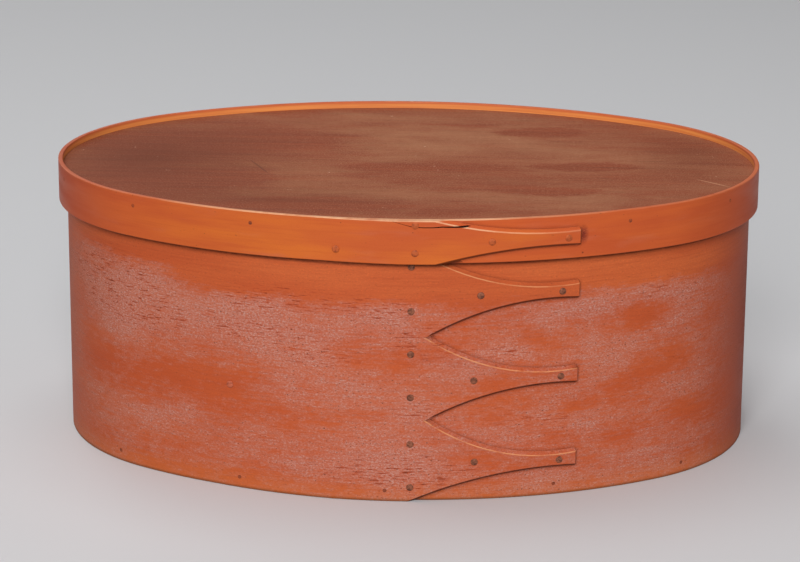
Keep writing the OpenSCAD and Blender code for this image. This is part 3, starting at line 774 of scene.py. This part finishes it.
def inner_rim(name):
    """Inside of the lid's strip: brushed red-orange near the top, yellower below, bare under the board."""
    coat = Coat(name)
    grain = coat.noise((18, 620, 1), 5, .6, .3)
    high = coat.split()["Y"]
    colour = coat.over(coat.window(grain, .3, .7), shade(236, 150, 78), shade(214, 122, 62))
    colour = coat.over(coat.window(high, .1196, .1206, 0, .75), colour, shade(200, 94, 52))
    colour = coat.over(coat.window(high, .1126, .1130, .9, 0), colour, shade(196, 146, 94))
    coat.relief(grain, .0001, .5)
    return coat.done(colour, .55, Specular_IOR_Level=.35)


for finish in (glossy_band("lid_paint"), glossy_band("lid_paint_edges", True),
               inner_rim("lid_inner_face"), split_wood("split_wood")):
    lid_band.data.materials.append(finish)
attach(lid_band, "lid")
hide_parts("lid_band")

# ---------------------------------------------------------------- lid tacks
# The same copper tacks: two at the root of the lid's finger, two along it, and one through the thin
# inner end of its lap. All are painted over with the band.
LID_COLUMN_X, LID_COLUMN_Z = .009, (.1192, .1077)
LID_FINGER_X, LID_FINGER_Z = (.0400, .0708), .11215
LID_SEAM_X, LID_SEAM_Z, LID_SEAM_RISE = -.0232, .1084, .00089
painted_tack = painted_copper("paint_over_copper", shade(194, 94, 48), shade(158, 74, 40))
tack_group("lid_lap_tacks_dressed", "lid_lap_tacks",
           [(front_frame(LID_COLUMN_X, z, LID_FACE, LID_SHIFT), TWO_LAYERS) for z in LID_COLUMN_Z],
           painted_tack, "lid")
tack_group("lid_finger_tacks_dressed", "lid_finger_tacks",
           [(front_frame(x, LID_FINGER_Z, LID_FACE, LID_SHIFT), TWO_LAYERS) for x in LID_FINGER_X],
           painted_tack, "lid")
tack_group("lid_seam_tack_dressed", "lid_seam_tack",
           [(front_frame(LID_SEAM_X, LID_SEAM_Z, SIDE_R + LID_GROW + LID_SEAM_RISE, LID_SHIFT),
             STRIP_T + LID_SEAM_RISE)], painted_tack, "lid")

# ---------------------------------------------------------------- lid board points
# Small wooden points like those at the foot, driven through the lid's band into the edge of its
# board and painted with the band.
lid_points = coated("lid_board_points", wood_points("lid_points_wood", shade(172, 78, 40)))

# ---------------------------------------------------------------- lid board
# Oval pine board let into the lid's strip 3 mm below its edge. Stained brown-red, worn dull and
# dusty along the grain, with a few scratches and specks.


def dusty_red_board(name):
    """Brown-red stain under dust, cleaner in places, with one pale and one dark scratch."""
    coat = Coat(name, "Object")
    grain = coat.noise((9, 300, 60), 4, .6, .25)
    fine = coat.noise((44, 760, 300), 5, .74)
    blotch = coat.noise((18, 44, 20), 5, .66, .5, at=(2, 5, 0))
    grit = coat.noise((1500, 1900, 1500), 3, .8)
    colour = coat.over(coat.window(grain, .3, .72), shade(152, 74, 46), shade(136, 64, 40))
    dust = [(10, 26, 70, 34, .6, 0), (36, 58, 80, 22, .6, 0), (-10, -60, 90, 30, .35, 0),
            (90, 10, 50, 40, .35, 0), (60, -60, 40, 26, .4, 0), (-100, 0, 40, 30, .15, 0),
            (-20, 84, 60, 14, .3, 0)]
    clean = [(58, 62, 26, 12, 1.5, 0), (78, -4, 26, 9, 1.6, 0), (58, -50, 28, 11, 1.6, 0),
             (-38, -79, 50, 16, 1.0, 0), (-65, 37, 50, 24, 1.2, 0), (-8, -11, 30, 9, 1.1, 0),
             (18, -13, 26, 8, .9, 0), (20, -90, 20, 10, .6, 0), (-110, 20, 46, 40, 1.0, 0),
             (-100, -40, 54, 40, .9, 0), (110, 50, 34, 12, .5, 0), (24, 74, 20, 6, .6, 0)]
    layout = coat.patches(in_metres(dust) + in_metres(clean, sign=-1),
                          coat.ragged((50, 90, 1), (.030, .014, 0)))
    worn = coat.sum("MULTIPLY_ADD", coat.sum("SUBTRACT", blotch, .5), 1.7, layout)
    worn = coat.sum("MULTIPLY_ADD", coat.sum("SUBTRACT", fine, .5), 1.7, worn)
    dusted = coat.window(worn, -.35, .8)
    colour = coat.over(coat.sum("MULTIPLY", dusted, .8), colour, shade(176, 120, 88))
    colour = coat.over(coat.window(fine, .5, .66, 0, .45), colour, shade(112, 56, 38))
    colour = coat.over(coat.window(grit, .5, .64, 0, .5), colour, shade(194, 142, 110))
    worn_dark = coat.window(coat.noise((200, 1400, 300), 3, .7, at=(5, 3, 0)), .6, .7, 0, .5)
    colour = coat.over(worn_dark, colour, shade(104, 54, 38))
    # Darker over the left end of the board and in two smaller patches.
    darker_towards_ends = coat.patches([(-.115, 0, .075, .090, .55, 0), (-.060, -.070, .070, .030, .3, 0),
                           (.125, .020, .030, .060, .3, 0)])
    colour = coat.over(darker_towards_ends, colour, shade(92, 44, 26))
    pale = coat.patches([(.1323, -.0294, .0112, .0006, 1.8, -43)])
    colour = coat.over(coat.sum("MINIMUM", pale, .7), colour, shade(206, 150, 116))
    dark = coat.patches([(-.0642, -.0146, .0150, .0005, 1.6, -67)])
    colour = coat.over(coat.sum("MINIMUM", dark, .45), colour, shade(84, 48, 38))
    specks = coat.noise((420, 420, 420), 1, .5, at=(7, 2, 0))
    colour = coat.over(coat.window(specks, .80, .83, 0, .8), colour, shade(216, 176, 150))
    coat.relief(coat.sum("MULTIPLY_ADD", fine, .5, grain), .00014, .7)
    return coat.done(colour, coat.window(dusted, 0, 1, .66, .92), Specular_IOR_Level=.11)


lid_board = coated("lid_board", dusty_red_board("dusty_red_pine"))

# ---------------------------------------------------------------- setting
# A wide pale paper floor under an even white sky, a broad soft lamp in front, weak ones overhead, at
# the right and behind, and the camera where the photographer stood. To camera and reflections the
# paper is pale, and to all other light it is darker, so that it throws less up on the box.
FLOOR_REACH = 12
PAPER_SEEN, PAPER_LIGHTING = shade(214, 214, 216), shade(140, 140, 142)
bm = bmesh.new()
bmesh.ops.create_grid(bm, x_segments=1, y_segments=1, size=FLOOR_REACH)
floor_mesh = bpy.data.meshes.new("pale_floor")
bm.to_mesh(floor_mesh)
bm.free()
floor = bpy.data.objects.new("pale_floor", floor_mesh)
bpy.context.scene.collection.objects.link(floor)
paper = bpy.data.materials.new("pale_paper")
paper.use_nodes = True
path = paper.node_tree.nodes.new("ShaderNodeLightPath")
seen = path.outputs["Is Camera Ray"]
for way in ("Is Glossy Ray", "Is Transmission Ray"):
    either = paper.node_tree.nodes.new("ShaderNodeMath")
    either.operation = "MAXIMUM"
    paper.node_tree.links.new(seen, either.inputs[0])
    paper.node_tree.links.new(path.outputs[way], either.inputs[1])
    seen = either.outputs[0]
tint = paper.node_tree.nodes.new("ShaderNodeMix")
tint.data_type = "RGBA"
paper.node_tree.links.new(seen, tint.inputs["Factor"])
tint.inputs[6].default_value = (*PAPER_LIGHTING, 1)
tint.inputs[7].default_value = (*PAPER_SEEN, 1)
paper.node_tree.links.new(tint.outputs[2], paper.node_tree.nodes["Principled BSDF"].inputs["Base Color"])
paper.node_tree.nodes["Principled BSDF"].inputs["Roughness"].default_value = .9
floor_mesh.materials.append(paper)

SKY_STRENGTH = .2
world = bpy.data.worlds.new("studio")
bpy.context.scene.world = world
world.use_nodes = True
world.node_tree.nodes["Background"].inputs["Color"].default_value = (1, 1, 1, 1)
world.node_tree.nodes["Background"].inputs["Strength"].default_value = SKY_STRENGTH

# Each lamp's place, width and watts. All are turned to the middle of the box.
AIM = Vector((0, 0, .06))
lamps = {"key": ((-.12, -3.7, 2.0), 1.8, 142), "top": ((-.3, .2, 1.6), 1.2, 8),
         "fill": ((3.0, -2.6, 1.2), 2.0, 8), "back": ((-1.6, 3.0, 1.6), 1.6, 14)}
for name, (at, size, power) in lamps.items():
    light = bpy.data.lights.new(name, "AREA")
    light.shape, light.size, light.energy = "SQUARE", size, power
    lamp = bpy.data.objects.new(name, light)
    lamp.location = at
    lamp.rotation_euler = (AIM - Vector(at)).to_track_quat("-Z", "Y").to_euler()
    bpy.context.scene.collection.objects.link(lamp)

# The camera, as fitted to the photograph's outline: what it looks at, how far off it stands, how
# high and how far round, its tilt, and its focal length in pixels of a picture that wide.
TARGET = Vector((-.00318, 0, .06337))
DISTANCE, RISE, SWING, ROLL = 1.2873, math.radians(15.754), math.radians(3.0925), math.radians(.3627)
FOCAL_PIXELS, PICTURE_WIDTH = 2891.66, 800
away = Vector((math.sin(SWING) * math.cos(RISE), -math.cos(SWING) * math.cos(RISE), math.sin(RISE)))
right = (-away).cross(Vector((0, 0, 1))).normalized()
up = right.cross(-away)
right_rolled = right * math.cos(ROLL) + up * math.sin(ROLL)
up_rolled = up * math.cos(ROLL) - right * math.sin(ROLL)
lens = bpy.data.cameras.new("camera")
lens.sensor_width = 36
lens.lens = FOCAL_PIXELS / PICTURE_WIDTH * lens.sensor_width
lens.clip_start = .05
camera = bpy.data.objects.new("camera", lens)
turned = Matrix((right_rolled, up_rolled, away)).transposed().to_4x4()
camera.matrix_world = Matrix.Translation(TARGET + away * DISTANCE) @ turned
bpy.context.scene.collection.objects.link(camera)
bpy.context.scene.camera = camera
bpy.context.scene.view_settings.view_transform = "Standard"
